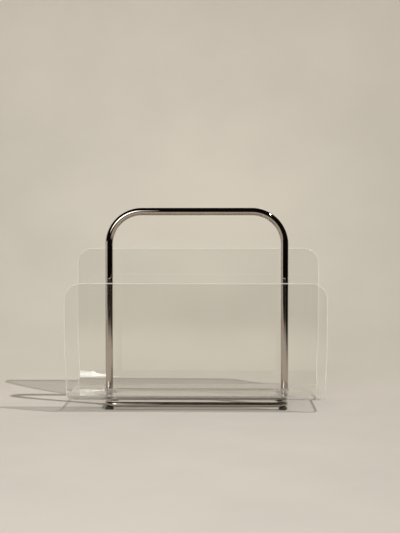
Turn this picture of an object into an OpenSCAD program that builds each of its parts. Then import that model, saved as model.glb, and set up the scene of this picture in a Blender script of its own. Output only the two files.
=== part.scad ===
// Magazine rack: a clear sheet bent into a trough, with a bent tube handle standing in the middle
// of it and a low ring of the same tube underneath. Two screws clamp the three together.
// +X runs along the rack's width, +Y to its taller rear panel and +Z up.
// The origin is on the floor, under the middle of the trough.

/* [Trough] */
// Width of the clear sheet
rack_w = 400; // [340:5:460]
// Depth of the trough over the two panels
rack_d = 180; // [160:5:220]
// Thickness of the clear sheet
sheet_t = 5; // [4:0.5:8]
// Inside radius of the two bends in the sheet
bend_r = 24; // [16:1:30]
// Height of the front panel's top edge above the floor
front_top = 198; // [160:1:220]
// Height of the rear panel's top edge above the floor
rear_top = 248; // [225:1:280]
// Radius of the panels' upper corners
corner_r = 25; // [10:1:40]
// How much each side of the sheet draws in towards the bends
neck = 2.5; // [0.5:0.5:5]

/* [Handle] */
// Distance between the centres of the handle's legs
leg_span = 278; // [240:1:300]
// Height of the top of the handle above the floor
handle_top = 313; // [290:1:350]
// Bend radius of the handle's corners, at the centre of the tube
handle_bend = 52; // [30:1:70]
// Outside diameter of the handle's tube
tube_d = 12; // [10:0.5:12]
// Wall thickness of the handle's tube
tube_wall = 1.2; // [0.8:0.1:1.4]

/* [Base] */
// Distance between the centres of the front and rear base tubes
base_span = 104; // [90:2:130]
// Bend radius of the base's corners, at the centre of the tube
base_bend = 15; // [12:1:20]
// Length of each solid cross bar between its two tube ends
bar_len = 40; // [30:1:44]
// Outside diameter of the base's tubes and cross bars
base_d = 8; // [8:0.5:11]
// Wall of the base's tubes
base_wall = 1; // [0.8:0.1:1.2]
// Height of the feet, from the floor to the tube
foot_h = 4; // [2:0.5:8]
// Diameter of the feet
foot_d = 13; // [10:0.5:16]

/* [Fixings] */
// Thread diameter of the two screws
screw_d = 3; // [3:0.5:3.5]
// Length of the screws under their heads
screw_len = 28; // [24:1:28]
// Thickness of the saddle spacers between the base and the sheet
spacer_t = 5; // [1:0.5:6]
// Flange thickness of the washers between the sheet and the handle's legs
washer_t = 1.5; // [1:0.5:3]
// Flange diameter of those washers
washer_d = 16; // [14:0.5:20]

/* [Hidden] */

$fn = 64;
LEFT = -1;
RIGHT = 1;
FRONT = -1;
REAR = 1;

// Clearances
slip = 0.05;
cut = 1;

// Heights above the floor, from the feet up
tube_r = tube_d / 2;
bore_r = tube_r - tube_wall;
base_r = base_d / 2;
base_bore_r = base_r - base_wall;
base_z = foot_h + base_r;
sheet_low = foot_h + base_d + spacer_t;
sheet_high = sheet_low + sheet_t;
leg_low = sheet_high + washer_t;

// Places in the plan
leg_x = leg_span / 2;
base_y = base_span / 2;
bend_mid = base_bend * (1 - cos(45));
foot_x = leg_x - bend_mid;
foot_y = base_y - bend_mid;

// The drawn-in part of the sheet's sides
neck_low = sheet_high + bend_r;
neck_high = neck_low + 60;

// Screw, and the pocket in the cross bar that hides its head
shank_r = screw_d / 2;
clear_r = shank_r + 0.1;
head_r = screw_d * 0.875;
head_h = screw_d * 0.65;
socket_r = screw_d * 0.43;
socket_h = head_h * 0.6;
lock_t = 1;
split_w = 0.8;
head_low = foot_h + 0.2;
head_high = head_low + head_h;
seat_z = head_high + lock_t;
pocket_r = head_r + 0.2;

// Small parts
sheet_hole_r = screw_d * 0.9;
shoulder_r = sheet_hole_r - 0.1;
spacer_r = base_r + 2.5;
spacer_grip = 2.5;
insert_h = 18;
insert_depth = 16;
spigot_len = min(12, base_y - base_bend - bar_len / 2);
stem_r = 2.4;
stem_h = 5;

// A U drawn from one panel's face to the other's, open at the top
module u_shape(half, low, radius, top) {
    translate([-half, low + radius])
        square([2 * half, top - low - radius]);
    translate([radius - half, low])
        square([2 * (half - radius), radius]);
    for (side = [LEFT, RIGHT])
        translate([side * (half - radius), low + radius])
            circle(radius);
}

// The sheet's bent cross section, seen from the side
module sheet_section() {
    difference() {
        u_shape(rack_d / 2, sheet_low, bend_r + sheet_t, rear_top);
        u_shape(rack_d / 2 - sheet_t, sheet_high, bend_r, rear_top + cut);
    }
}

// The outline of one half of the sheet, seen from the front: rounded top corners and drawn-in sides
module panel_outline(top) {
    half = rack_w / 2;
    polygon([
        [neck - half, 0], [half - neck, 0], [half - neck, neck_low], [half, neck_high],
        [half, top - corner_r], [half - corner_r, top],
        [corner_r - half, top], [-half, top - corner_r],
        [-half, neck_high], [neck - half, neck_low]
    ]);
    for (side = [LEFT, RIGHT])
        translate([side * (half - corner_r), top - corner_r])
            circle(corner_r);
}

module acrylic_trough() {
    color([0.85, 0.88, 0.84, 0.35])
        difference() {
            intersection() {
                rotate([90, 0, 90])
                    linear_extrude(rack_w, center = true)
                        sheet_section();
                union() {
                    rotate([90, 0, 0])
                        linear_extrude(rack_d)
                            panel_outline(front_top);
                    translate([0, rack_d, 0])
                        rotate([90, 0, 0])
                            linear_extrude(rack_d)
                                panel_outline(rear_top);
                }
            }
            for (side = [LEFT, RIGHT])
                translate([side * leg_x, 0, sheet_low - cut])
                    cylinder(h = sheet_t + 2 * cut, r = sheet_hole_r);
        }
}

// The space inside or around the handle's centre line, run past the ends of its legs by extra
module handle_path(radius, extra) {
    straight_top = handle_top - tube_r - handle_bend;
    rotate([0, 90, 0])
        translate([tube_r - handle_top, 0, 0])
            cylinder(h = 2 * (leg_x - handle_bend), r = radius, center = true);
    for (side = [LEFT, RIGHT]) {
        translate([side * leg_x, 0, leg_low - extra])
            cylinder(h = straight_top - leg_low + extra, r = radius);
        mirror([side == LEFT ? 1 : 0, 0, 0])
            translate([leg_x - handle_bend, 0, straight_top])
                rotate([90, 0, 0])
                    rotate_extrude(angle = 90)
                        translate([handle_bend, 0])
                            circle(radius);
    }
}

module handle() {
    color("gainsboro")
        difference() {
            handle_path(tube_r, 0);
            handle_path(bore_r, cut);
        }
}

// The space inside or around one half of the base ring, run past its ends by extra
module base_path(radius, extra) {
    run = base_y - base_bend - bar_len / 2;
    translate([0, -base_y, base_z])
        rotate([0, 90, 0])
            cylinder(h = 2 * (leg_x - base_bend), r = radius, center = true);
    for (side = [LEFT, RIGHT]) {
        translate([side * leg_x, extra - bar_len / 2, base_z])
            rotate([90, 0, 0])
                cylinder(h = run + extra, r = radius);
        mirror([side == LEFT ? 1 : 0, 0, 0])
            translate([leg_x - base_bend, base_bend - base_y, base_z])
                rotate([0, 0, -90])
                    rotate_extrude(angle = 90)
                        translate([base_bend, 0])
                            circle(radius);
    }
}

// Half of the base ring, with a hole under each bend for a foot's stem
module base_tube(end) {
    color("gainsboro")
        mirror([0, end == REAR ? 1 : 0, 0])
            difference() {
                base_path(base_r, 0);
                base_path(base_bore_r, cut);
                for (side = [LEFT, RIGHT])
                    translate([side * foot_x, -foot_y, 0])
                        cylinder(h = base_z, r = stem_r + slip);
            }
}

// Solid bar that closes one side of the base ring: it plugs into both tubes and takes the screw
module cross_bar(side) {
    color("gainsboro")
        translate([side * leg_x, 0, 0])
            difference() {
                translate([0, 0, base_z])
                    rotate([90, 0, 0])
                        union() {
                            cylinder(h = bar_len, r = base_r, center = true);
                            cylinder(h = bar_len + 2 * spigot_len, r = base_bore_r - slip, center = true);
                        }
                cylinder(h = sheet_low, r = clear_r);
                cylinder(h = seat_z, r = pocket_r);
            }
}

// Spacer with a flat top for the sheet and a hollow underside that sits on the cross bar
module saddle_spacer(side) {
    color("whitesmoke")
        translate([side * leg_x, 0, 0])
            difference() {
                translate([0, 0, sheet_low - spacer_t - spacer_grip])
                    cylinder(h = spacer_t + spacer_grip, r = spacer_r);
                translate([0, 0, base_z])
                    rotate([90, 0, 0])
                        cylinder(h = 4 * spacer_r, r = base_r + slip, center = true);
                cylinder(h = sheet_low + cut, r = clear_r);
            }
}

// Washer under a leg, with a shoulder that keeps the screw off the edge of the hole in the sheet
module shoulder_washer(side) {
    color("whitesmoke")
        translate([side * leg_x, 0, 0])
            difference() {
                union() {
                    translate([0, 0, sheet_high])
                        cylinder(h = washer_t, r = washer_d / 2);
                    translate([0, 0, sheet_low + sheet_t / 4])
                        cylinder(h = sheet_t * 3 / 4, r = shoulder_r);
                }
                cylinder(h = leg_low + cut, r = clear_r);
            }
}

// Tapped plug pressed into the end of a leg
module leg_insert(side) {
    color("silver")
        translate([side * leg_x, 0, leg_low])
            difference() {
                cylinder(h = insert_h, r = bore_r - slip);
                translate([0, 0, -cut])
                    cylinder(h = insert_depth + cut, r = shank_r + slip);
            }
}

// Socket screw, head down, driven from under the base
module screw(side) {
    color("silver")
        translate([side * leg_x, 0, 0])
            difference() {
                union() {
                    translate([0, 0, head_low])
                        cylinder(h = head_h, r = head_r);
                    translate([0, 0, head_high])
                        cylinder(h = screw_len - shank_r / 2, r = shank_r);
                    translate([0, 0, head_high + screw_len - shank_r / 2])
                        cylinder(h = shank_r / 2, r1 = shank_r, r2 = shank_r / 2);
                }
                translate([0, 0, head_low - cut])
                    cylinder(h = socket_h + cut, r = socket_r, $fn = 6);
            }
}

// Split ring between the screw's head and the bottom of its pocket
module lock_washer(side) {
    color("silver")
        translate([side * leg_x, 0, head_high])
            difference() {
                cylinder(h = lock_t, r = head_r - 0.1);
                translate([0, 0, -cut])
                    cylinder(h = lock_t + 2 * cut, r = clear_r);
                translate([-split_w / 2, 0, -cut])
                    cube([split_w, head_r, lock_t + 2 * cut]);
            }
}

// Foot with a stem that pushes into the tube at a corner of the base
module foot(side, end) {
    edge = 0.8;
    color("dimgray")
        translate([side * foot_x, end * foot_y, 0]) {
            cylinder(h = edge, r1 = foot_d / 2 - edge, r2 = foot_d / 2);
            translate([0, 0, edge])
                cylinder(h = foot_h - edge, r = foot_d / 2);
            translate([0, 0, foot_h])
                cylinder(h = stem_h, r = stem_r);
        }
}

acrylic_trough();
handle();
base_tube(FRONT);  // front_base_tube
base_tube(REAR);  // rear_base_tube
cross_bar(LEFT);  // left_cross_bar
cross_bar(RIGHT);  // right_cross_bar
saddle_spacer(LEFT);  // left_saddle_spacer
saddle_spacer(RIGHT);  // right_saddle_spacer
shoulder_washer(LEFT);  // left_shoulder_washer
shoulder_washer(RIGHT);  // right_shoulder_washer
leg_insert(LEFT);  // left_leg_insert
leg_insert(RIGHT);  // right_leg_insert
screw(LEFT);  // left_screw
screw(RIGHT);  // right_screw
lock_washer(LEFT);  // left_lock_washer
lock_washer(RIGHT);  // right_lock_washer
foot(LEFT, FRONT);  // front_left_foot
foot(RIGHT, FRONT);  // front_right_foot
foot(LEFT, REAR);  // rear_left_foot
foot(RIGHT, REAR);  // rear_right_foot
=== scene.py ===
"""The magazine rack's looks: a bent clear sheet, a chromed tube handle and a chromed ring under it.

Everything is in metres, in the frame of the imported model: +X along the rack's width, +Y to the
taller rear panel, +Z up, with the floor at zero.
"""

import math

import bmesh
import bpy
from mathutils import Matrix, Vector


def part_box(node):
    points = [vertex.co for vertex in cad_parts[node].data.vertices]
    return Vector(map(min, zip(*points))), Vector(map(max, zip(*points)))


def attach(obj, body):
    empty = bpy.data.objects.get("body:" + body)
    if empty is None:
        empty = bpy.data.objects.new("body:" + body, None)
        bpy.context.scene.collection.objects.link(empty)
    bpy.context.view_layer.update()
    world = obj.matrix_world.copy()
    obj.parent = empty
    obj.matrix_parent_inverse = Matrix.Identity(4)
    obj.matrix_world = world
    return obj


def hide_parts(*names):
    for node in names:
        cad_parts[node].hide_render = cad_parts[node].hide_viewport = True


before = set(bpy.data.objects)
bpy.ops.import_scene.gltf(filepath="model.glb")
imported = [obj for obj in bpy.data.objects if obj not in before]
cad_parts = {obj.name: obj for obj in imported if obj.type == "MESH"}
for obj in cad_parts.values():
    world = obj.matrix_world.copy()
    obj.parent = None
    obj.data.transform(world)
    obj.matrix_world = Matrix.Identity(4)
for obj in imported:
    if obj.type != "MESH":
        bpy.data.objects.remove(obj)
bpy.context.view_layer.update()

MM = 0.001
LEFT = -1
RIGHT = 1
FRONT = -1
REAR = 1

# ---------------------------------------------------------------- places from the frame

sheet_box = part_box("acrylic_trough")
handle_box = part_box("handle")
base_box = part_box("front_base_tube")
bar_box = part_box("left_cross_bar")
foot_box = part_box("front_left_foot")
spacer_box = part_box("left_saddle_spacer")
washer_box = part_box("left_shoulder_washer")
insert_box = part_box("left_leg_insert")
screw_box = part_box("left_screw")
lock_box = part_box("left_lock_washer")


def middle(box, axis):
    """The middle of a box along one axis."""
    return (box[0][axis] + box[1][axis]) / 2


def size(box, axis):
    """The length of a box along one axis."""
    return box[1][axis] - box[0][axis]


# The sheet
SHEET_T = 5 * MM
BEND_R = 24 * MM
FRONT_TOP = 198 * MM
CORNER_R = 25 * MM
NECK = 2.5 * MM
NECK_H = 60 * MM
SHEET_HOLE_R = 2.7 * MM
EDGE_R = 1.4 * MM
HOLE_EDGE_R = 0.3 * MM
# Half the side of the square of sheet that is meshed round each screw hole
HOLE_CELL = 10 * MM
CORNER_STEPS = 20
NECK_STEPS = 12
BEND_STEPS = 28
REAR_TOP = sheet_box[1].z
SHEET_LOW = sheet_box[0].z
SHEET_HIGH = SHEET_LOW + SHEET_T
HALF_W = sheet_box[1].x
HALF_D = sheet_box[1].y

# The tubes
TUBE_R = size(handle_box, 1) / 2
BORE_R = TUBE_R - 1.2 * MM
BASE_R = size(bar_box, 2) / 2
BASE_BORE_R = BASE_R - 1.0 * MM
SLIP = 0.05 * MM
LEG_X = handle_box[1].x - TUBE_R
LEG_LOW = handle_box[0].z
HANDLE_TOP = handle_box[1].z
HANDLE_BEND = 52 * MM
BASE_Z = middle(bar_box, 2)
BASE_Y = -base_box[0].y - BASE_R
BASE_BEND = 15 * MM
BAR_HALF = -base_box[1].y
FOOT_X = -middle(foot_box, 0)
FOOT_Y = -middle(foot_box, 1)
FOOT_R = size(foot_box, 0) / 2
FOOT_TOP = bar_box[0].z
STEM_R = 2.4 * MM

# The fixings
SHANK_R = 1.5 * MM
PITCH = 0.5 * MM
CLEAR_R = SHANK_R + 0.1 * MM
HEAD_R = size(screw_box, 0) / 2
HEAD_LOW = screw_box[0].z
HEAD_HIGH = lock_box[0].z
SEAT_Z = lock_box[1].z


# ---------------------------------------------------------------- meshes


def new_object(name, verts, faces, normals=None):
    """A mesh object, smooth all over where it has its own normals."""
    mesh = bpy.data.meshes.new(name)
    mesh.from_pydata(verts, [], faces)
    mesh.polygons.foreach_set("use_smooth", [True] * len(mesh.polygons))
    mesh.update()
    if normals is not None:
        mesh.normals_split_custom_set_from_vertices([tuple(n) for n in normals])
    obj = bpy.data.objects.new(name, mesh)
    bpy.context.scene.collection.objects.link(obj)
    return obj


def soften(obj, angle=30):
    """Smooth shading that breaks at real edges."""
    mesh = obj.data
    mesh.polygons.foreach_set("use_smooth", [True] * len(mesh.polygons))
    mesh.set_sharp_from_angle(angle=math.radians(angle))
    mesh.update()
    return obj


def face_outwards(obj):
    """Turns all faces of a closed mesh to its outside."""
    fix = bmesh.new()
    fix.from_mesh(obj.data)
    bmesh.ops.recalc_face_normals(fix, faces=fix.faces)
    fix.to_mesh(obj.data)
    fix.free()
    return obj


def apply_modifiers(obj):
    """Turns the object's modifiers into its mesh."""
    depsgraph = bpy.context.evaluated_depsgraph_get()
    made = bpy.data.meshes.new_from_object(obj.evaluated_get(depsgraph))
    obj.modifiers.clear()
    obj.data = made
    return obj


def subtract(obj, cutter):
    """Cuts one closed mesh out of another and deletes the cutter."""
    cut = obj.modifiers.new("cut", "BOOLEAN")
    cut.operation = "DIFFERENCE"
    cut.solver = "EXACT"
    cut.object = cutter
    apply_modifiers(obj)
    bpy.data.objects.remove(cutter)
    return obj


def turned(name, profile, centre, axis=2, segments=64, closed=False, thread=None):
    """Turns a list of (radius, height) points about a line through centre, parallel to one axis.

    thread is (lowest, highest, pitch, depth, widest) of a helical groove in the turned surface: it cuts
    radii up to the widest, and a negative depth cuts outwards.
    """
    verts = []
    faces = []
    for radius, height in profile:
        for k in range(segments):
            a = 2 * math.pi * k / segments
            r = radius
            if thread and thread[0] <= height <= thread[1] and radius <= thread[4]:
                turn = (height / thread[2] - k / segments) % 1
                r += thread[3] * (abs(2 * turn - 1) - 1)
            u, v = r * math.cos(a), r * math.sin(a)
            point = (u, v, height) if axis == 2 else (u, height, v)
            verts.append(Vector(centre) + Vector(point))
    rings = len(profile)
    for i in range(rings if closed else rings - 1):
        j = (i + 1) % rings
        for k in range(segments):
            m = (k + 1) % segments
            faces.append((i * segments + k, i * segments + m, j * segments + m, j * segments + k))
    if not closed:
        faces.append(tuple(reversed(range(segments))))
        faces.append(tuple(range((rings - 1) * segments, rings * segments)))
    obj = new_object(name, verts, faces)
    return soften(face_outwards(obj))


def disc_profile(radius, low, high, round_low, round_high, steps=5):
    """The half section of a disc with rounded rims, from its lower face to its upper one."""
    points = []
    for k in range(steps + 1):
        a = math.pi / 2 * k / steps
        points.append((radius - round_low * (1 - math.sin(a)), low + round_low * (1 - math.cos(a))))
    for k in range(steps + 1):
        a = math.pi / 2 * k / steps
        points.append((radius - round_high * (1 - math.cos(a)), high - round_high * (1 - math.sin(a))))
    return points


# ---------------------------------------------------------------- the clear sheet

MID_R = BEND_R + SHEET_T / 2
BEND_Y = HALF_D - BEND_R - SHEET_T
BEND_Z = SHEET_HIGH + BEND_R
FRONT_RUN = FRONT_TOP - BEND_Z
REAR_RUN = REAR_TOP - BEND_Z
BEND_RUN = MID_R * math.pi / 2
BASE_START = FRONT_RUN + BEND_RUN
BASE_END = BASE_START + 2 * BEND_Y
REAR_START = BASE_END + BEND_RUN
SHEET_RUN = REAR_START + REAR_RUN


def bent(s, v, t):
    """The place and the two directions of a point of the flat sheet once it is bent.

    s runs along the sheet from the front top edge to the rear one, v along the width,
    and t outwards from the middle of the sheet's thickness.
    """
    if s < FRONT_RUN:
        out = (-1.0, 0.0)
        mid = (-BEND_Y - MID_R, FRONT_TOP - s)
    elif s < BASE_START:
        a = (s - FRONT_RUN) / MID_R
        out = (-math.cos(a), -math.sin(a))
        mid = (-BEND_Y + MID_R * out[0], BEND_Z + MID_R * out[1])
    elif s < BASE_END:
        out = (0.0, -1.0)
        mid = (-BEND_Y + s - BASE_START, BEND_Z - MID_R)
    elif s < REAR_START:
        a = (s - BASE_END) / MID_R
        out = (math.sin(a), -math.cos(a))
        mid = (BEND_Y + MID_R * out[0], BEND_Z + MID_R * out[1])
    else:
        out = (1.0, 0.0)
        mid = (BEND_Y + MID_R, BEND_Z + s - REAR_START)
    place = Vector((v, mid[0] + t * out[0], mid[1] + t * out[1]))
    outward = Vector((0, out[0], out[1]))
    along = Vector((0, -out[1], out[0]))
    return place, outward, along


def drawn_in(z):
    """How much each side of the sheet has drawn in at a height: most at the bends, none above them."""
    share = min(max((z - BEND_Z) / NECK_H, 0), 1)
    return NECK * (1 - share * share * (3 - 2 * share))


def side_outline():
    """The right side of the flat sheet as (s, v, normal along s, normal along v), front to rear."""
    points = []
    for k in range(CORNER_STEPS + 1):
        a = math.radians(90 - 90 * k / CORNER_STEPS)
        points.append((CORNER_R * (1 - math.sin(a)), HALF_W - CORNER_R + CORNER_R * math.cos(a),
                       -math.sin(a), math.cos(a)))
    stops = [CORNER_R + 0.25 * (FRONT_RUN - NECK_H - CORNER_R) * k for k in range(1, 5)]
    stops += [FRONT_RUN - NECK_H + NECK_H * k / NECK_STEPS for k in range(1, NECK_STEPS + 1)]
    stops += [FRONT_RUN + BEND_RUN * k / BEND_STEPS for k in range(1, BEND_STEPS + 1)]
    stops += [BASE_START + BEND_Y - HOLE_CELL, BASE_START + BEND_Y + HOLE_CELL, BASE_END]
    stops += [BASE_END + BEND_RUN * k / BEND_STEPS for k in range(1, BEND_STEPS + 1)]
    stops += [REAR_START + NECK_H * k / NECK_STEPS for k in range(1, NECK_STEPS + 1)]
    rest = REAR_RUN - NECK_H - CORNER_R
    stops += [REAR_START + NECK_H + 0.25 * rest * k for k in range(1, 4)]
    for s in stops:
        points.append((s, HALF_W - drawn_in(bent(s, 0, 0)[0].z), 0.0, 1.0))
    for k in range(CORNER_STEPS + 1):
        a = math.radians(90 * k / CORNER_STEPS)
        points.append((SHEET_RUN - CORNER_R * (1 - math.sin(a)), HALF_W - CORNER_R + CORNER_R * math.cos(a),
                       math.sin(a), math.cos(a)))
    return points


def edge_profile(edge_r, steps=5):
    """Round the rim from the outer face to the inner one: (inset, t, share of outward, share of sideways)."""
    half = SHEET_T / 2
    points = []
    for k in range(steps + 1):
        a = math.radians(90 * k / steps)
        points.append((edge_r * (1 - math.sin(a)), half - edge_r * (1 - math.cos(a)), math.cos(a), math.sin(a)))
    return points + [(i, -t, -o, w) for i, t, o, w in reversed(points)]


def clear_sheet():
    """The bent sheet as one closed mesh: two faces, a rounded rim and two screw holes."""
    verts = []
    normals = []
    faces = []
    edge_faces = []

    def vertex(s, v, t, out_share, flat_normal=(0.0, 0.0)):
        place, outward, along = bent(s, v, t)
        normal = outward * out_share + along * flat_normal[0] + Vector((flat_normal[1], 0, 0))
        verts.append(place)
        normals.append(normal.normalized())
        return len(verts) - 1

    side = side_outline()
    columns = [-LEG_X - HOLE_CELL, -LEG_X + HOLE_CELL, 0.0, LEG_X - HOLE_CELL, LEG_X + HOLE_CELL]
    profile = edge_profile(EDGE_R)
    left = [(s, -v, ns, -nv) for s, v, ns, nv in side]
    rear_row = [(SHEET_RUN, v, 1.0, 0.0) for v in reversed(columns)]
    front_row = [(0.0, v, -1.0, 0.0) for v in columns]
    loop = side + rear_row + list(reversed(left)) + front_row
    rim = []
    for s, v, ns, nv in loop:
        rim.append([
            vertex(s - ns * inset, v - nv * inset, t, out, (ns * share, nv * share))
            for inset, t, out, share in profile
        ])
    count = len(loop)
    for j in range(count):
        a, b = rim[j], rim[(j + 1) % count]
        for p in range(len(profile) - 1):
            edge_faces.append((a[p], b[p], b[p + 1], a[p + 1]))

    rows = len(side)
    hole_row = min(range(rows), key=lambda k: abs(side[k][0] - (BASE_START + BEND_Y - HOLE_CELL)))
    for face, t in ((0, SHEET_T / 2), (len(profile) - 1, -SHEET_T / 2)):
        out = 1.0 if t > 0 else -1.0
        grid = []
        for k in range(rows):
            s, v, ns, nv = side[k]
            left_end = rim[rows + len(columns) + rows - 1 - k][face]
            right_end = rim[k][face]
            if k == 0:
                inner = [rim[2 * rows + len(columns) + c][face] for c in range(len(columns))]
            elif k == rows - 1:
                inner = [rim[rows + len(columns) - 1 - c][face] for c in range(len(columns))]
            else:
                inner = [vertex(s - ns * EDGE_R, v_at, t, out) for v_at in columns]
            grid.append([left_end] + inner + [right_end])
        for k in range(rows - 1):
            for c in range(len(columns) + 1):
                corners = (grid[k][c], grid[k][c + 1], grid[k + 1][c + 1], grid[k + 1][c])
                if k == hole_row and c in (1, 4):
                    hole_patch(vertex, faces, edge_faces, corners, LEG_X * (LEFT if c == 1 else RIGHT), t)
                else:
                    faces.append(corners if t < 0 else tuple(reversed(corners)))
    obj = new_object("clear_sheet", verts, faces + edge_faces, normals)
    obj.data.materials.append(clear_acrylic("acrylic_face", 0.0))
    obj.data.materials.append(clear_acrylic("acrylic_edge", 1.0))
    index = [0] * len(faces) + [1] * len(edge_faces)
    obj.data.polygons.foreach_set("material_index", index)
    return obj


# The rings of each screw hole's wall, by the place of the hole along the width
hole_rings = {}


def hole_patch(vertex, faces, edge_faces, corners, v_mid, t):
    """Fills one cell of a face round a screw hole, and once both faces have theirs, the hole's wall."""
    segments = 48
    s_mid = BASE_START + BEND_Y
    profile = edge_profile(HOLE_EDGE_R, 3)

    def ring(radius, t_at, out, share):
        made = []
        for k in range(segments):
            a = 2 * math.pi * (k + 0.5) / segments
            ds, dv = math.sin(a), math.cos(a)
            made.append(vertex(s_mid + radius * ds, v_mid + radius * dv, t_at, out, (-ds * share, -dv * share)))
        return made

    rings = hole_rings.setdefault(v_mid, [
        ring(SHEET_HOLE_R + inset, t_at, out, share) for inset, t_at, out, share in profile
    ])
    edge = rings[0] if t > 0 else rings[-1]
    quarter = segments // 4
    near = [corners[2], corners[3], corners[0], corners[1]]
    for q in range(4):
        for k in range(q * quarter, (q + 1) * quarter):
            last = k == (q + 1) * quarter - 1
            after = (k + 1) % segments
            if last:
                corner = (edge[k], near[q], near[(q + 1) % 4], edge[after])
            else:
                corner = (edge[k], near[q], edge[after])
            faces.append(tuple(reversed(corner)) if t > 0 else corner)
    if t > 0:
        for upper, lower in zip(rings, rings[1:]):
            for k in range(segments):
                m = (k + 1) % segments
                edge_faces.append((upper[k], upper[m], lower[m], lower[k]))


# ---------------------------------------------------------------- the tubes


def straight(start, end, steps=1):
    """Stations of a straight run, its first end left out."""
    start, end = Vector(start), Vector(end)
    way = (end - start).normalized()
    return [(start.lerp(end, k / steps), way) for k in range(1, steps + 1)]


def bend(centre, from_point, to_point, steps=30):
    """Stations of a quarter bend about a centre, its first end left out."""
    centre = Vector(centre)
    a, b = Vector(from_point) - centre, Vector(to_point) - centre
    made = []
    for k in range(1, steps + 1):
        turn = math.pi / 2 * k / steps
        made.append((centre + a * math.cos(turn) + b * math.sin(turn),
                     (b * math.cos(turn) - a * math.sin(turn)).normalized()))
    return made


def tube(name, stations, flat_normal, outer_r, inner_r, lip=0.25 * MM, segments=48):
    """A hollow tube swept along stations in one plane, with softened ends."""
    flat_normal = Vector(flat_normal)
    first, last = stations[0], stations[-1]
    outer = [(p, d, outer_r) for p, d in stations]
    outer[0] = (first[0] + first[1] * lip, first[1], outer_r)
    outer[-1] = (last[0] - last[1] * lip, last[1], outer_r)
    inner = [(p, d, inner_r) for p, d, r in reversed(outer)]
    end_a = [(first[0] + first[1] * lip * 0.3, first[1], outer_r - lip * 0.3), (first[0], first[1], outer_r - lip)]
    end_b = [(last[0] - last[1] * lip * 0.3, last[1], outer_r - lip * 0.3), (last[0], last[1], outer_r - lip)]
    bore_a = [(first[0], first[1], inner_r + lip)]
    bore_b = [(last[0], last[1], inner_r + lip)]
    rings = outer + end_b + bore_b + inner + bore_a + list(reversed(end_a))
    verts = []
    faces = []
    for place, way, radius in rings:
        side = flat_normal.cross(way).normalized()
        for k in range(segments):
            a = 2 * math.pi * k / segments
            verts.append(place + (side * math.cos(a) + flat_normal * math.sin(a)) * radius)
    count = len(rings)
    for i in range(count):
        j = (i + 1) % count
        for k in range(segments):
            m = (k + 1) % segments
            faces.append((i * segments + k, i * segments + m, j * segments + m, j * segments + k))
    return soften(new_object(name, verts, faces))


def handle():
    """The bent handle: two legs and a top bar in one tube."""
    shoulder = HANDLE_TOP - TUBE_R - HANDLE_BEND
    top = HANDLE_TOP - TUBE_R
    inner_x = LEG_X - HANDLE_BEND
    stations = [(Vector((-LEG_X, 0, LEG_LOW)), Vector((0, 0, 1)))]
    stations += straight((-LEG_X, 0, LEG_LOW), (-LEG_X, 0, shoulder), 12)
    stations += bend((-inner_x, 0, shoulder), (-LEG_X, 0, shoulder), (-inner_x, 0, top), 40)
    stations += straight((-inner_x, 0, top), (inner_x, 0, top), 12)
    stations += bend((inner_x, 0, shoulder), (inner_x, 0, top), (LEG_X, 0, shoulder), 40)
    stations += straight((LEG_X, 0, shoulder), (LEG_X, 0, LEG_LOW), 12)
    return tube("chrome_handle", stations, (0, 1, 0), TUBE_R, BORE_R)


def base_tube(name, end):
    """One half of the base ring: a long tube with two bends and two short straight ends."""
    y = end * BASE_Y
    turn_y = end * (BASE_Y - BASE_BEND)
    bar_y = end * BAR_HALF
    turn_x = LEG_X - BASE_BEND
    stations = [(Vector((-LEG_X, bar_y, BASE_Z)), Vector((0, end, 0)))]
    stations += straight((-LEG_X, bar_y, BASE_Z), (-LEG_X, turn_y, BASE_Z), 2)
    stations += bend((-turn_x, turn_y, BASE_Z), (-LEG_X, turn_y, BASE_Z), (-turn_x, y, BASE_Z))
    stations += straight((-turn_x, y, BASE_Z), (turn_x, y, BASE_Z), 12)
    stations += bend((turn_x, turn_y, BASE_Z), (turn_x, y, BASE_Z), (LEG_X, turn_y, BASE_Z))
    stations += straight((LEG_X, turn_y, BASE_Z), (LEG_X, bar_y, BASE_Z), 2)
    made = tube(name, stations, (0, 0, 1), BASE_R, BASE_BORE_R)
    for side in (LEFT, RIGHT):
        subtract(made, turned("cutter", [(STEM_R + SLIP, 0), (STEM_R + SLIP, BASE_Z)],
                              (side * FOOT_X, end * FOOT_Y, 0), segments=32))
    return soften(made)


# ---------------------------------------------------------------- the small parts


def bore(obj, centre, radius, low, high, axis=2):
    """Bores a round hole through a part."""
    return soften(subtract(obj, turned("cutter", [(radius, low), (radius, high)], centre, axis, 48)))


def cross_bar(name, side):
    """The solid bar between two tube ends: its spigots plug into them, and a pocket takes the screw's head."""
    lip = 0.3 * MM
    chamfer = 0.6 * MM
    spigot = BASE_BORE_R - SLIP
    end = size(bar_box, 1) / 2
    half = [
        (spigot - chamfer, end), (spigot, end - chamfer), (spigot, BAR_HALF),
        (BASE_R - lip, BAR_HALF), (BASE_R - lip * 0.3, BAR_HALF - lip * 0.3), (BASE_R, BAR_HALF - lip),
    ]
    profile = [(r, -h) for r, h in half] + [(r, h) for r, h in reversed(half)]
    bar = turned(name, profile, (side * LEG_X, 0, BASE_Z), axis=1)
    bore(bar, (side * LEG_X, 0, 0), CLEAR_R, 0, SHEET_LOW)
    return bore(bar, (side * LEG_X, 0, 0), HEAD_R + 0.2 * MM, -MM, SEAT_Z)


def saddle_spacer(name, side):
    """The disc between a round bar and the flat sheet, hollowed to sit on the bar."""
    profile = disc_profile(size(spacer_box, 0) / 2, spacer_box[0].z, spacer_box[1].z, 0.3 * MM, 0.4 * MM)
    disc = turned(name, profile, (side * LEG_X, 0, 0))
    bore(disc, (side * LEG_X, 0, BASE_Z), BASE_R + SLIP, -20 * MM, 20 * MM, axis=1)
    return bore(disc, (side * LEG_X, 0, 0), CLEAR_R, 0, SHEET_HIGH)


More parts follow.
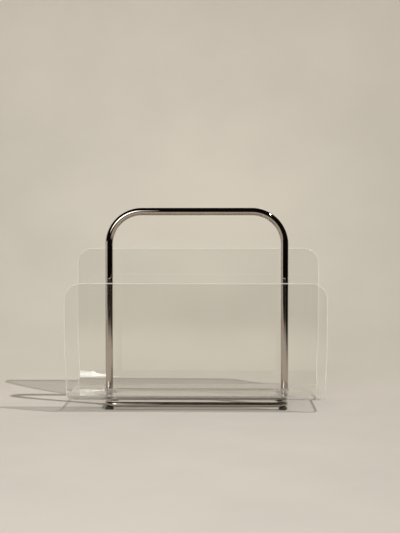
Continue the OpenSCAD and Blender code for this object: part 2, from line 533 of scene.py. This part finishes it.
def shoulder_washer(name, side):
    """The washer under a leg, with a shoulder that goes down into the sheet's hole."""
    low, high = washer_box[0].z, washer_box[1].z
    shoulder = SHEET_HOLE_R - 0.1 * MM
    ease = 0.25 * MM
    profile = [(CLEAR_R, low + ease), (CLEAR_R + ease, low), (shoulder - ease, low), (shoulder, low + ease),
               (shoulder, SHEET_HIGH)]
    profile += disc_profile(size(washer_box, 0) / 2, SHEET_HIGH, high, 0.2 * MM, 0.6 * MM)
    profile += [(CLEAR_R + ease, high), (CLEAR_R, high - ease)]
    return turned(name, profile, (side * LEG_X, 0, 0), closed=True)


def leg_insert(name, side):
    """The tapped plug in the end of a leg: grooved outside for the press fit, threaded inside."""
    low, high = insert_box[0].z, insert_box[1].z
    radius = BORE_R - SLIP
    ease = 0.5 * MM
    thread_top = low + 16 * MM
    inner = SHANK_R + 0.05 * MM
    outside = [(radius - ease, low), (radius, low + ease)]
    for k in range(1, 6):
        z = low + 3 * MM * k
        outside += [(radius, z - 0.4 * MM), (radius - 0.3 * MM, z), (radius, z + 0.4 * MM)]
    outside += [(radius, high - ease), (radius - ease, high)]
    steps = 120
    inside = [(inner, low + ease + (thread_top - low - ease) * k / steps) for k in range(steps, -1, -1)]
    profile = inside + [(inner + ease, low)] + outside
    return turned(name, profile, (side * LEG_X, 0, 0), segments=32,
                  thread=(low + ease, thread_top, PITCH, -0.15 * MM, inner))


def screw(name, side):
    """The socket screw, head down: a rounded rim, a six-sided socket and a rolled thread."""
    low, high = HEAD_LOW, HEAD_HIGH
    tip = screw_box[1].z
    thread_low = high + 4 * MM
    profile = disc_profile(HEAD_R, low, high, 0.4 * MM, 0.15 * MM)
    profile += [(SHANK_R + 0.2 * MM, high), (SHANK_R, high + 0.2 * MM)]
    steps = 240
    profile += [(SHANK_R, thread_low + (tip - MM - thread_low) * k / steps) for k in range(steps + 1)]
    profile += [(SHANK_R / 2, tip)]
    made = turned(name, profile, (side * LEG_X, 0, 0), segments=36,
                  thread=(thread_low, tip, PITCH, 0.25 * MM, SHANK_R))
    # A six-sided socket, about 2.6 mm across its corners, through three fifths of the head
    depth = (high - low) * 0.6
    socket = SHANK_R * 0.86
    cutter = turned("cutter", [(socket + 0.4 * MM, low - 0.4 * MM), (socket, low + 0.1 * MM), (socket, low + depth)],
                    (side * LEG_X, 0, 0), segments=6)
    return soften(subtract(made, cutter))


def lock_washer(name, side):
    """The split ring under a screw's head, its two ends sprung a little apart."""
    outer, inner = HEAD_R - 0.1 * MM, CLEAR_R
    rise = 0.25 * MM
    thick = SEAT_Z - HEAD_HIGH - rise
    steps = 60
    gap = math.asin(0.4 * MM / outer)
    verts = []
    faces = []
    for k in range(steps + 1):
        a = math.pi / 2 + gap + (2 * math.pi - 2 * gap) * k / steps
        low = HEAD_HIGH + rise * k / steps
        ease = 0.12 * MM
        section = [(inner, low), (outer - ease, low), (outer, low + ease), (outer, low + thick - ease),
                   (outer - ease, low + thick), (inner, low + thick)]
        verts += [(side * LEG_X + r * math.cos(a), r * math.sin(a), z) for r, z in section]
    n = len(section)
    for k in range(steps):
        for i in range(n):
            j = (i + 1) % n
            faces.append((k * n + i, k * n + j, (k + 1) * n + j, (k + 1) * n + i))
    faces.append(tuple(range(n)))
    faces.append(tuple(reversed(range(steps * n, steps * n + n))))
    made = new_object(name, verts, faces)
    return soften(face_outwards(made))


def foot(name, side, end):
    """A moulded foot: a rounded pad with a hollow underside, and a stem that goes up into the tube."""
    low, high = foot_box[0].z, foot_box[1].z
    pad = disc_profile(FOOT_R, low, FOOT_TOP, 0.8 * MM, 0.9 * MM, 8)
    profile = [(2.0 * MM, low + 0.8 * MM), (3.2 * MM, low + 0.8 * MM), (3.8 * MM, low)] + pad
    profile += [(STEM_R, FOOT_TOP), (STEM_R, high - 0.5 * MM), (STEM_R - 0.5 * MM, high)]
    return turned(name, profile, (side * FOOT_X, end * FOOT_Y, 0))


# ---------------------------------------------------------------- materials


def material(name):
    """A new material with its Principled shader and its node tree."""
    made = bpy.data.materials.new(name)
    made.use_nodes = True
    tree = made.node_tree
    return made, tree, tree.nodes["Principled BSDF"], tree.nodes["Material Output"]


def noise(tree, scale, detail=3.0, rough=0.5, stretch=None):
    """A noise texture in the object's own coordinates, which are metres."""
    place = tree.nodes.new("ShaderNodeTexCoord")
    node = tree.nodes.new("ShaderNodeTexNoise")
    node.inputs["Scale"].default_value = scale
    node.inputs["Detail"].default_value = detail
    node.inputs["Roughness"].default_value = rough
    source = place.outputs["Object"]
    if stretch:
        mapping = tree.nodes.new("ShaderNodeMapping")
        mapping.inputs["Scale"].default_value = stretch
        tree.links.new(source, mapping.inputs["Vector"])
        source = mapping.outputs["Vector"]
    tree.links.new(source, node.inputs["Vector"])
    return node.outputs["Fac"]


def ranged(tree, source, low, high, from_low=0.3, from_high=0.7):
    """A texture's value moved into a range."""
    node = tree.nodes.new("ShaderNodeMapRange")
    node.inputs["From Min"].default_value = from_low
    node.inputs["From Max"].default_value = from_high
    node.inputs["To Min"].default_value = low
    node.inputs["To Max"].default_value = high
    tree.links.new(source, node.inputs["Value"])
    return node.outputs["Result"]


def math_node(tree, operation, a, b=None):
    """A Math node whose inputs are sockets or numbers."""
    node = tree.nodes.new("ShaderNodeMath")
    node.operation = operation
    for socket, value in zip(node.inputs, (a, b)):
        if value is None:
            continue
        if isinstance(value, (int, float)):
            socket.default_value = value
        else:
            tree.links.new(value, socket)
    return node.outputs["Value"]


def bump(tree, source, distance, strength=1.0):
    """A bump whose height is in metres."""
    node = tree.nodes.new("ShaderNodeBump")
    node.inputs["Strength"].default_value = strength
    node.inputs["Distance"].default_value = distance
    tree.links.new(source, node.inputs["Height"])
    return node.outputs["Normal"]


def two_tone(tree, shader, first, second, source):
    """The shader's base colour, moving between two colours with a texture."""
    tint = tree.nodes.new("ShaderNodeMix")
    tint.data_type = "RGBA"
    tint.inputs["A"].default_value = (*first, 1)
    tint.inputs["B"].default_value = (*second, 1)
    tree.links.new(source, tint.inputs["Factor"])
    tree.links.new(tint.outputs["Result"], shader.inputs["Base Color"])


ACRYLIC_IOR = 1.49
# The share of a lamp's light that a face or an edge of the sheet lets through, besides what it reflects
FACE_SHADE = 0.97
EDGE_SHADE = 0.3


def clear_acrylic(name, edge):
    """Clear acrylic. Lamps shine through it, less at a glancing angle and hardly at all at its edges.

    An edge is cut and only lightly polished, so it also scatters some light, and it is given a faint painted glow,
    an emission that stands in for the light that the sheet leads to it.
    """
    made, tree, shader, output = material(name)
    shader.inputs["Transmission Weight"].default_value = 1.0
    shader.inputs["IOR"].default_value = ACRYLIC_IOR
    surface = shader.outputs["BSDF"]
    if edge:
        shader.inputs["Base Color"].default_value = (0.95, 0.965, 0.95, 1)
        # A faint painted glow: the edges emit light, standing in for the light the sheet leads to them
        shader.inputs["Emission Color"].default_value = (1.0, 0.98, 0.93, 1)
        shader.inputs["Emission Strength"].default_value = 0.22
        marks = noise(tree, 1400, 3)
        tree.links.new(ranged(tree, marks, 0.04, 0.16), shader.inputs["Roughness"])
        tree.links.new(bump(tree, marks, 0.01 * MM), shader.inputs["Normal"])
        scattered = tree.nodes.new("ShaderNodeBsdfTranslucent")
        scattered.inputs["Color"].default_value = (0.99, 0.98, 0.94, 1)
        frosted = tree.nodes.new("ShaderNodeBsdfDiffuse")
        frosted.inputs["Color"].default_value = (0.99, 0.98, 0.94, 1)
        both = tree.nodes.new("ShaderNodeMixShader")
        tree.links.new(scattered.outputs["BSDF"], both.inputs[1])
        tree.links.new(frosted.outputs["BSDF"], both.inputs[2])
        haze = tree.nodes.new("ShaderNodeMixShader")
        tree.links.new(ranged(tree, noise(tree, 60, 3), 0.45, 0.60), haze.inputs["Fac"])
        tree.links.new(surface, haze.inputs[1])
        tree.links.new(both.outputs["Shader"], haze.inputs[2])
        surface = haze.outputs["Shader"]
    else:
        shader.inputs["Base Color"].default_value = (0.985, 0.99, 0.98, 1)
        scratches = noise(tree, 260, 4, 0.7, (1.0, 0.06, 0.06))
        tree.links.new(ranged(tree, scratches, 0.0, 0.02, 0.62, 0.9), shader.inputs["Roughness"])
        tree.links.new(bump(tree, noise(tree, 7, 1), 0.006 * MM), shader.inputs["Normal"])
    fresnel = tree.nodes.new("ShaderNodeFresnel")
    fresnel.inputs["IOR"].default_value = ACRYLIC_IOR
    geometry = tree.nodes.new("ShaderNodeNewGeometry")
    front = math_node(tree, "SUBTRACT", 1.0, geometry.outputs["Backfacing"])
    mirrored = math_node(tree, "MULTIPLY", fresnel.outputs["Fac"], front)
    passed = math_node(tree, "DIVIDE", math_node(tree, "SUBTRACT", 1.0, mirrored),
                       math_node(tree, "ADD", 1.0, mirrored))
    light = math_node(tree, "MULTIPLY", passed, EDGE_SHADE if edge else FACE_SHADE)
    clear = tree.nodes.new("ShaderNodeBsdfTransparent")
    tree.links.new(light, clear.inputs["Color"])
    path = tree.nodes.new("ShaderNodeLightPath")
    mix = tree.nodes.new("ShaderNodeMixShader")
    lamps = math_node(tree, "MAXIMUM", path.outputs["Is Shadow Ray"], path.outputs["Is Diffuse Ray"])
    tree.links.new(lamps, mix.inputs["Fac"])
    tree.links.new(surface, mix.inputs[1])
    tree.links.new(clear.outputs["BSDF"], mix.inputs[2])
    tree.links.new(mix.outputs["Shader"], output.inputs["Surface"])
    return made


def chrome():
    """Bright plated tube: nearly a mirror, with a faint haze, fine drawing lines and handling marks."""
    made, tree, shader, _ = material("chrome")
    shader.inputs["Metallic"].default_value = 1.0
    two_tone(tree, shader, (0.51, 0.445, 0.39), (0.46, 0.40, 0.35), ranged(tree, noise(tree, 45, 4), 0, 1))
    tree.links.new(ranged(tree, noise(tree, 160, 5, 0.6), 0.012, 0.045, 0.4, 0.75), shader.inputs["Roughness"])
    tree.links.new(bump(tree, noise(tree, 50, 2), 0.008 * MM), shader.inputs["Normal"])
    return made


def plain_steel():
    """Zinc-plated steel of the screws, their lock washers and the tapped plugs."""
    made, tree, shader, _ = material("plain_steel")
    shader.inputs["Metallic"].default_value = 1.0
    two_tone(tree, shader, (0.62, 0.62, 0.60), (0.50, 0.51, 0.50), ranged(tree, noise(tree, 700, 4), 0, 1))
    tree.links.new(ranged(tree, noise(tree, 1500, 3), 0.22, 0.42), shader.inputs["Roughness"])
    tree.links.new(bump(tree, noise(tree, 2500, 3), 0.02 * MM), shader.inputs["Normal"])
    return made


def nylon():
    """Natural nylon: off-white, waxy, a little see-through."""
    made, tree, shader, _ = material("nylon")
    two_tone(tree, shader, (0.80, 0.79, 0.75), (0.72, 0.70, 0.65), ranged(tree, noise(tree, 300, 4), 0, 1))
    shader.inputs["Transmission Weight"].default_value = 0.35
    shader.inputs["IOR"].default_value = 1.53
    tree.links.new(ranged(tree, noise(tree, 900, 3), 0.25, 0.4), shader.inputs["Roughness"])
    tree.links.new(bump(tree, noise(tree, 1800, 3), 0.015 * MM), shader.inputs["Normal"])
    return made


def rubber():
    """Moulded rubber of the feet: nearly black, its tone and roughness varying a little at random."""
    made, tree, shader, _ = material("rubber")
    two_tone(tree, shader, (0.022, 0.02, 0.018), (0.04, 0.037, 0.033), ranged(tree, noise(tree, 400, 4), 0, 1))
    shader.inputs["Specular IOR Level"].default_value = 0.8
    tree.links.new(ranged(tree, noise(tree, 700, 4), 0.12, 0.3), shader.inputs["Roughness"])
    tree.links.new(bump(tree, noise(tree, 2200, 3), 0.02 * MM), shader.inputs["Normal"])
    return made


# ---------------------------------------------------------------- stage

SWEEP_START = 55 * MM
SWEEP_TURN = math.radians(20)
SWEEP_NEAR_R = 0.30
SWEEP_FAR_R = 1.0
WALL_TOP = 3.2
STAGE_HALF = 12.0
PAPER_FRONT = -0.96
# Mirrors see the paper fade into a dark room between these places in front of, right of and above the rack
FADE_Y = (PAPER_FRONT, 1.85 * PAPER_FRONT)
FADE_X = (0.65, 1.2)
FADE_Z = (0.62, 0.80)
PAPER = (0.612, 0.58055, 0.54485)
MOTTLE = (1.145, 1.205)
# A painted pool of light, the wall paler by this share in a patch behind the rack: its half width, height and middle
PAINTED_LIGHT_POOL = 0.22
POOL_X = 0.34
POOL_H = 0.30
POOL_Z = 0.26
# Heights on the sweep, and how pale the paper is there, red and green, then blue: painted light and shade, darker
# just above the floor and paler higher up where the light from above falls, with a slightly more neutral tint on the
# floor than on the wall
PAPER_TINT_AND_LIGHT = (
    (0.0, 0.91, 0.90), (0.012, 0.88, 0.85), (0.03, 0.84, 0.79), (0.25, 0.86, 0.81),
    (0.46, 0.94, 0.89), (0.70, 1.08, 1.03), (1.0, 1.15, 1.10),
)


def mirrored_ray(tree):
    """One for rays that a mirror or a clear surface has reflected, nought for all others."""
    path = tree.nodes.new("ShaderNodeLightPath")
    turned_back = math_node(tree, "GREATER_THAN", path.outputs["Glossy Depth"], 0.5)
    return math_node(tree, "MULTIPLY", turned_back, path.outputs["Is Glossy Ray"])


def paper_material():
    """Pale paper with painted light: darker just above the floor, paler higher up and in a patch behind the rack. It
    is seen from its lit side only, and in mirrors it fades out away from the rack.
    """
    made, tree, shader, output = material("paper")
    shader.inputs["Roughness"].default_value = 1.0
    shader.inputs["Specular IOR Level"].default_value = 0.0
    geometry = tree.nodes.new("ShaderNodeNewGeometry")
    place = tree.nodes.new("ShaderNodeSeparateXYZ")
    tree.links.new(geometry.outputs["Position"], place.inputs["Vector"])
    # Painted light and shade by height: the paper is darker just above the floor and paler higher up
    ramp = tree.nodes.new("ShaderNodeValToRGB")
    elements = ramp.color_ramp.elements
    for k, (height, warm, blue) in enumerate(PAPER_TINT_AND_LIGHT):
        element = elements[k] if k < 2 else elements.new(height)
        element.position = height
        element.color = (PAPER[0] * warm, PAPER[1] * warm, PAPER[2] * blue, 1)
    tree.links.new(place.outputs["Z"], ramp.inputs["Fac"])
    tint = tree.nodes.new("ShaderNodeMix")
    tint.data_type = "RGBA"
    tint.blend_type = "MULTIPLY"
    tint.inputs["Factor"].default_value = 1.0
    tree.links.new(ramp.outputs["Color"], tint.inputs["A"])
    # A painted pool of light: the paper is paler in a patch on the wall behind the rack
    across = math_node(tree, "MULTIPLY", place.outputs["X"], 1 / POOL_X)
    upward = math_node(tree, "MULTIPLY", math_node(tree, "SUBTRACT", place.outputs["Z"], POOL_Z), 1 / POOL_H)
    away = math_node(tree, "ADD", math_node(tree, "MULTIPLY", across, across),
                     math_node(tree, "MULTIPLY", upward, upward))
    painted_light_pool = math_node(tree, "EXPONENT", math_node(tree, "MULTIPLY", away, -1.0))
    mottle = ranged(tree, noise(tree, 7, 4), *MOTTLE)
    shade = math_node(tree, "MULTIPLY", mottle, math_node(tree, "ADD", 1.0, math_node(tree, "MULTIPLY", painted_light_pool, PAINTED_LIGHT_POOL)))
    tree.links.new(shade, tint.inputs["B"])
    tree.links.new(tint.outputs["Result"], shader.inputs["Base Color"])
    tree.links.new(bump(tree, noise(tree, 900, 4), 0.05 * MM), shader.inputs["Normal"])
    fades = [
        ranged(tree, place.outputs[axis], 0, 1, *fade)
        for axis, fade in (("Y", FADE_Y), ("X", FADE_X), ("Z", FADE_Z))
    ]
    beyond = math_node(tree, "MAXIMUM", math_node(tree, "MAXIMUM", fades[0], fades[1]), fades[2])
    dark = math_node(tree, "MULTIPLY", beyond, mirrored_ray(tree))
    room = tree.nodes.new("ShaderNodeBsdfDiffuse")
    room.inputs["Color"].default_value = (0.008, 0.007, 0.006, 1)
    floor = tree.nodes.new("ShaderNodeMixShader")
    tree.links.new(dark, floor.inputs["Fac"])
    tree.links.new(shader.outputs["BSDF"], floor.inputs[1])
    tree.links.new(room.outputs["BSDF"], floor.inputs[2])
    clear = tree.nodes.new("ShaderNodeBsdfTransparent")
    sided = tree.nodes.new("ShaderNodeMixShader")
    tree.links.new(geometry.outputs["Backfacing"], sided.inputs["Fac"])
    tree.links.new(floor.outputs["Shader"], sided.inputs[1])
    tree.links.new(clear.outputs["BSDF"], sided.inputs[2])
    tree.links.new(sided.outputs["Shader"], output.inputs["Surface"])
    return made


def stage():
    """A paper sweep behind the rack and a wide floor round it."""
    profile = [(-STAGE_HALF, 0.0), (PAPER_FRONT, 0.0), (-0.3, 0.0), (SWEEP_START, 0.0)]
    for k in range(1, 25):
        a = SWEEP_TURN * k / 24
        profile.append((SWEEP_START + SWEEP_NEAR_R * math.sin(a), SWEEP_NEAR_R * (1 - math.cos(a))))
    y, z = profile[-1]
    centre_y = y - SWEEP_FAR_R * math.sin(SWEEP_TURN)
    centre_z = z + SWEEP_FAR_R * math.cos(SWEEP_TURN)
    for k in range(1, 49):
        a = SWEEP_TURN + (math.pi / 2 - SWEEP_TURN) * k / 48
        profile.append((centre_y + SWEEP_FAR_R * math.sin(a), centre_z - SWEEP_FAR_R * math.cos(a)))
    profile.append((profile[-1][0], WALL_TOP))
    verts = []
    faces = []
    for y, z in profile:
        verts += [(-STAGE_HALF, y, z), (STAGE_HALF, y, z)]
    for k in range(len(profile) - 1):
        faces.append((2 * k, 2 * k + 1, 2 * k + 3, 2 * k + 2))
    sweep = new_object("paper_sweep", verts, faces)
    floor_z = -0.5 * MM
    h = STAGE_HALF
    floor = new_object("paper_floor", [(-h, 0, floor_z), (h, 0, floor_z), (h, h, floor_z), (-h, h, floor_z)],
                       [(0, 1, 2, 3)])
    paper = paper_material()
    for obj in (sweep, floor):
        obj.data.materials.append(paper)


def aim(obj, target):
    """Turns an object's -Z axis to a point."""
    way = Vector(target) - obj.location
    obj.rotation_euler = way.to_track_quat("-Z", "Y").to_euler()


def from_angles(azimuth, elevation, distance):
    """A point seen from the rack's middle: azimuth 0 is towards the camera side (-Y), positive to +X."""
    a, e = math.radians(azimuth), math.radians(elevation)
    return Vector((math.sin(a) * math.cos(e), -math.cos(a) * math.cos(e), math.sin(e))) * distance


# The hard key light comes from the right and above, the soft one from the front left
KEY_WAY = Vector((0.51, -0.25, 0.82)).normalized()
KEY_DISTANCE = 3
SOFT_DISTANCE = 2.6
SOFT_RISE = 27
DISC = 48
BOARD = 4
AIM_Z = 0.1
# The room: the fill light it gives, what the camera sees of it past the paper, and what mirrors see
FILL = (0.235, 0.213, 0.182, 1)
PALE = (0.58, 0.52, 0.43, 1)
DARK = (0.007, 0.0065, 0.006, 1)


def mirror_card(name, place, half_w, half_h, shape, strength, rim=1.0, upright=False):
    """A bright card that only mirrors and clear surfaces see: a DISC, or a BOARD with four corners.

    At its rim it has the given share of its strength. It faces the rack, or stands upright.
    """
    look = bpy.data.materials.new(name)
    look.use_nodes = True
    tree = look.node_tree
    tree.nodes.clear()
    emit = tree.nodes.new("ShaderNodeEmission")
    output = tree.nodes.new("ShaderNodeOutputMaterial")
    path = tree.nodes.new("ShaderNodeLightPath")
    seen = math_node(tree, "LESS_THAN", path.outputs["Diffuse Depth"], 0.5)
    where = tree.nodes.new("ShaderNodeTexCoord")
    length = tree.nodes.new("ShaderNodeVectorMath")
    length.operation = "LENGTH"
    tree.links.new(where.outputs["Object"], length.inputs[0])
    power = ranged(tree, length.outputs["Value"], strength, strength * rim, 0, max(half_w, half_h))
    tree.links.new(math_node(tree, "MULTIPLY", seen, power), emit.inputs["Strength"])
    tree.links.new(emit.outputs["Emission"], output.inputs["Surface"])
    verts = []
    reach = 1 / math.cos(math.pi / shape)
    for k in range(shape):
        a = 2 * math.pi * (k + 0.5) / shape
        verts.append((half_w * reach * math.cos(a), half_h * reach * math.sin(a), 0))
    card = new_object(name, verts, [tuple(range(shape))])
    card.data.materials.append(look)
    card.location = place
    aim(card, (0, 0, place.z if upright else AIM_Z))
    card.visible_camera = False
    card.visible_diffuse = False
    card.visible_shadow = False
    return card


def lights():
    """A small hard key light, a soft fill, and what mirrors see of the two and of the dark room."""
    sun = bpy.data.lights.new("key", "SUN")
    sun.energy = 1.76
    sun.angle = math.radians(0.9)
    sun.color = (1.0, 0.985, 0.96)
    sun.cycles.use_multiple_importance_sampling = False
    key = bpy.data.objects.new("key", sun)
    key.location = KEY_WAY * KEY_DISTANCE
    bpy.context.scene.collection.objects.link(key)
    aim(key, (0, 0, 0))
    mirror_card("key_glint", KEY_WAY * KEY_DISTANCE, 0.11, 0.11, DISC, 260.0)

    soft = bpy.data.lights.new("soft_box", "AREA")
    soft.shape = "DISK"
    soft.size = 1.6
    soft.energy = 14
    box = bpy.data.objects.new("soft_box", soft)
    box.location = from_angles(-26, SOFT_RISE, SOFT_DISTANCE)
    bpy.context.scene.collection.objects.link(box)
    aim(box, (0, 0, AIM_Z))
    box.visible_camera = False
    box.visible_glossy = False
    box.visible_transmission = False
    # Bare tubes see the soft box as a disc. What is behind the front panel sees it as a tall bright board.
    place = from_angles(-22, SOFT_RISE, SOFT_DISTANCE)
    bare = mirror_card("soft_glint", place, 0.72, 0.72, DISC, 8.0, rim=0.2)
    bare.visible_transmission = False
    behind = mirror_card("window_glint", Vector((-0.99, -2.067, 1.50)), 0.62, 1.22, BOARD, 9.0, upright=True)
    behind.visible_glossy = False
    # A low pale card on the left that only mirrors see: a painted reflection that gives the legs a pale strip down
    # their left side
    mirror_card("side_glow", Vector((-1.7, -0.25, 0.19)), 0.75, 0.18, BOARD, 0.75, upright=True)

    world = bpy.data.worlds.new("room")
    bpy.context.scene.world = world
    world.use_nodes = True
    tree = world.node_tree
    path = tree.nodes.new("ShaderNodeLightPath")
    mirrored = mirrored_ray(tree)
    through = math_node(tree, "SUBTRACT", path.outputs["Is Glossy Ray"], mirrored)
    straight_on = math_node(tree, "MAXIMUM", path.outputs["Is Camera Ray"], through)
    colour = None
    for share, tone in ((straight_on, PALE), (mirrored, DARK)):
        mix = tree.nodes.new("ShaderNodeMix")
        mix.data_type = "RGBA"
        if colour is None:
            mix.inputs["A"].default_value = FILL
        else:
            tree.links.new(colour, mix.inputs["A"])
        mix.inputs["B"].default_value = tone
        tree.links.new(share, mix.inputs["Factor"])
        colour = mix.outputs["Result"]
    tree.links.new(colour, tree.nodes["Background"].inputs["Color"])


def camera():
    """The camera stands in front of the rack, a little right of its middle and level with its top."""
    data = bpy.data.cameras.new("camera")
    data.lens = 82.06
    data.sensor_width = 36
    data.clip_start = 0.05
    data.clip_end = 60
    cam = bpy.data.objects.new("camera", data)
    cam.location = (0.040, -1.924, 0.286)
    cam.rotation_euler = (math.radians(90 - 1.96), 0, math.radians(1.04))
    bpy.context.scene.collection.objects.link(cam)
    bpy.context.scene.camera = cam


# ---------------------------------------------------------------- build

CHROME = chrome()
STEEL = plain_steel()
NYLON = nylon()
RUBBER = rubber()


def piece(obj, slot, *nodes, look=None):
    """Hangs a new piece on the rack's body, in place of its CAD nodes."""
    if look:
        obj.data.materials.clear()
        obj.data.materials.append(look)
    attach(obj, "root")
    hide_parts(*nodes)
    return obj


camera()
stage()
lights()
piece(clear_sheet(), "clear_acrylic", "acrylic_trough")
piece(handle(), "chrome", "handle", look=CHROME)
piece(base_tube("chrome_base_front", FRONT), "chrome", "front_base_tube", look=CHROME)
piece(base_tube("chrome_base_rear", REAR), "chrome", "rear_base_tube", look=CHROME)
for side_name, side in (("left", LEFT), ("right", RIGHT)):
    for kind, node, make, slot, look in (
        ("bar", "cross_bar", cross_bar, "chrome", CHROME),
        ("saddle", "saddle_spacer", saddle_spacer, "nylon", NYLON),
        ("washer", "shoulder_washer", shoulder_washer, "nylon", NYLON),
        ("insert", "leg_insert", leg_insert, "plain_steel", STEEL),
        ("socket_screw", "screw", screw, "plain_steel", STEEL),
        ("split_washer", "lock_washer", lock_washer, "plain_steel", STEEL),
    ):
        piece(make(side_name + "_" + kind, side), slot, side_name + "_" + node, look=look)
    for end_name, end in (("front", FRONT), ("rear", REAR)):
        piece(foot(end_name + "_" + side_name + "_pad", side, end), "rubber",
              end_name + "_" + side_name + "_foot", look=RUBBER)

scene = bpy.context.scene
scene.view_settings.view_transform = "Standard"
scene.cycles.max_bounces = 24
scene.cycles.transmission_bounces = 20
scene.cycles.glossy_bounces = 12
scene.cycles.transparent_max_bounces = 24
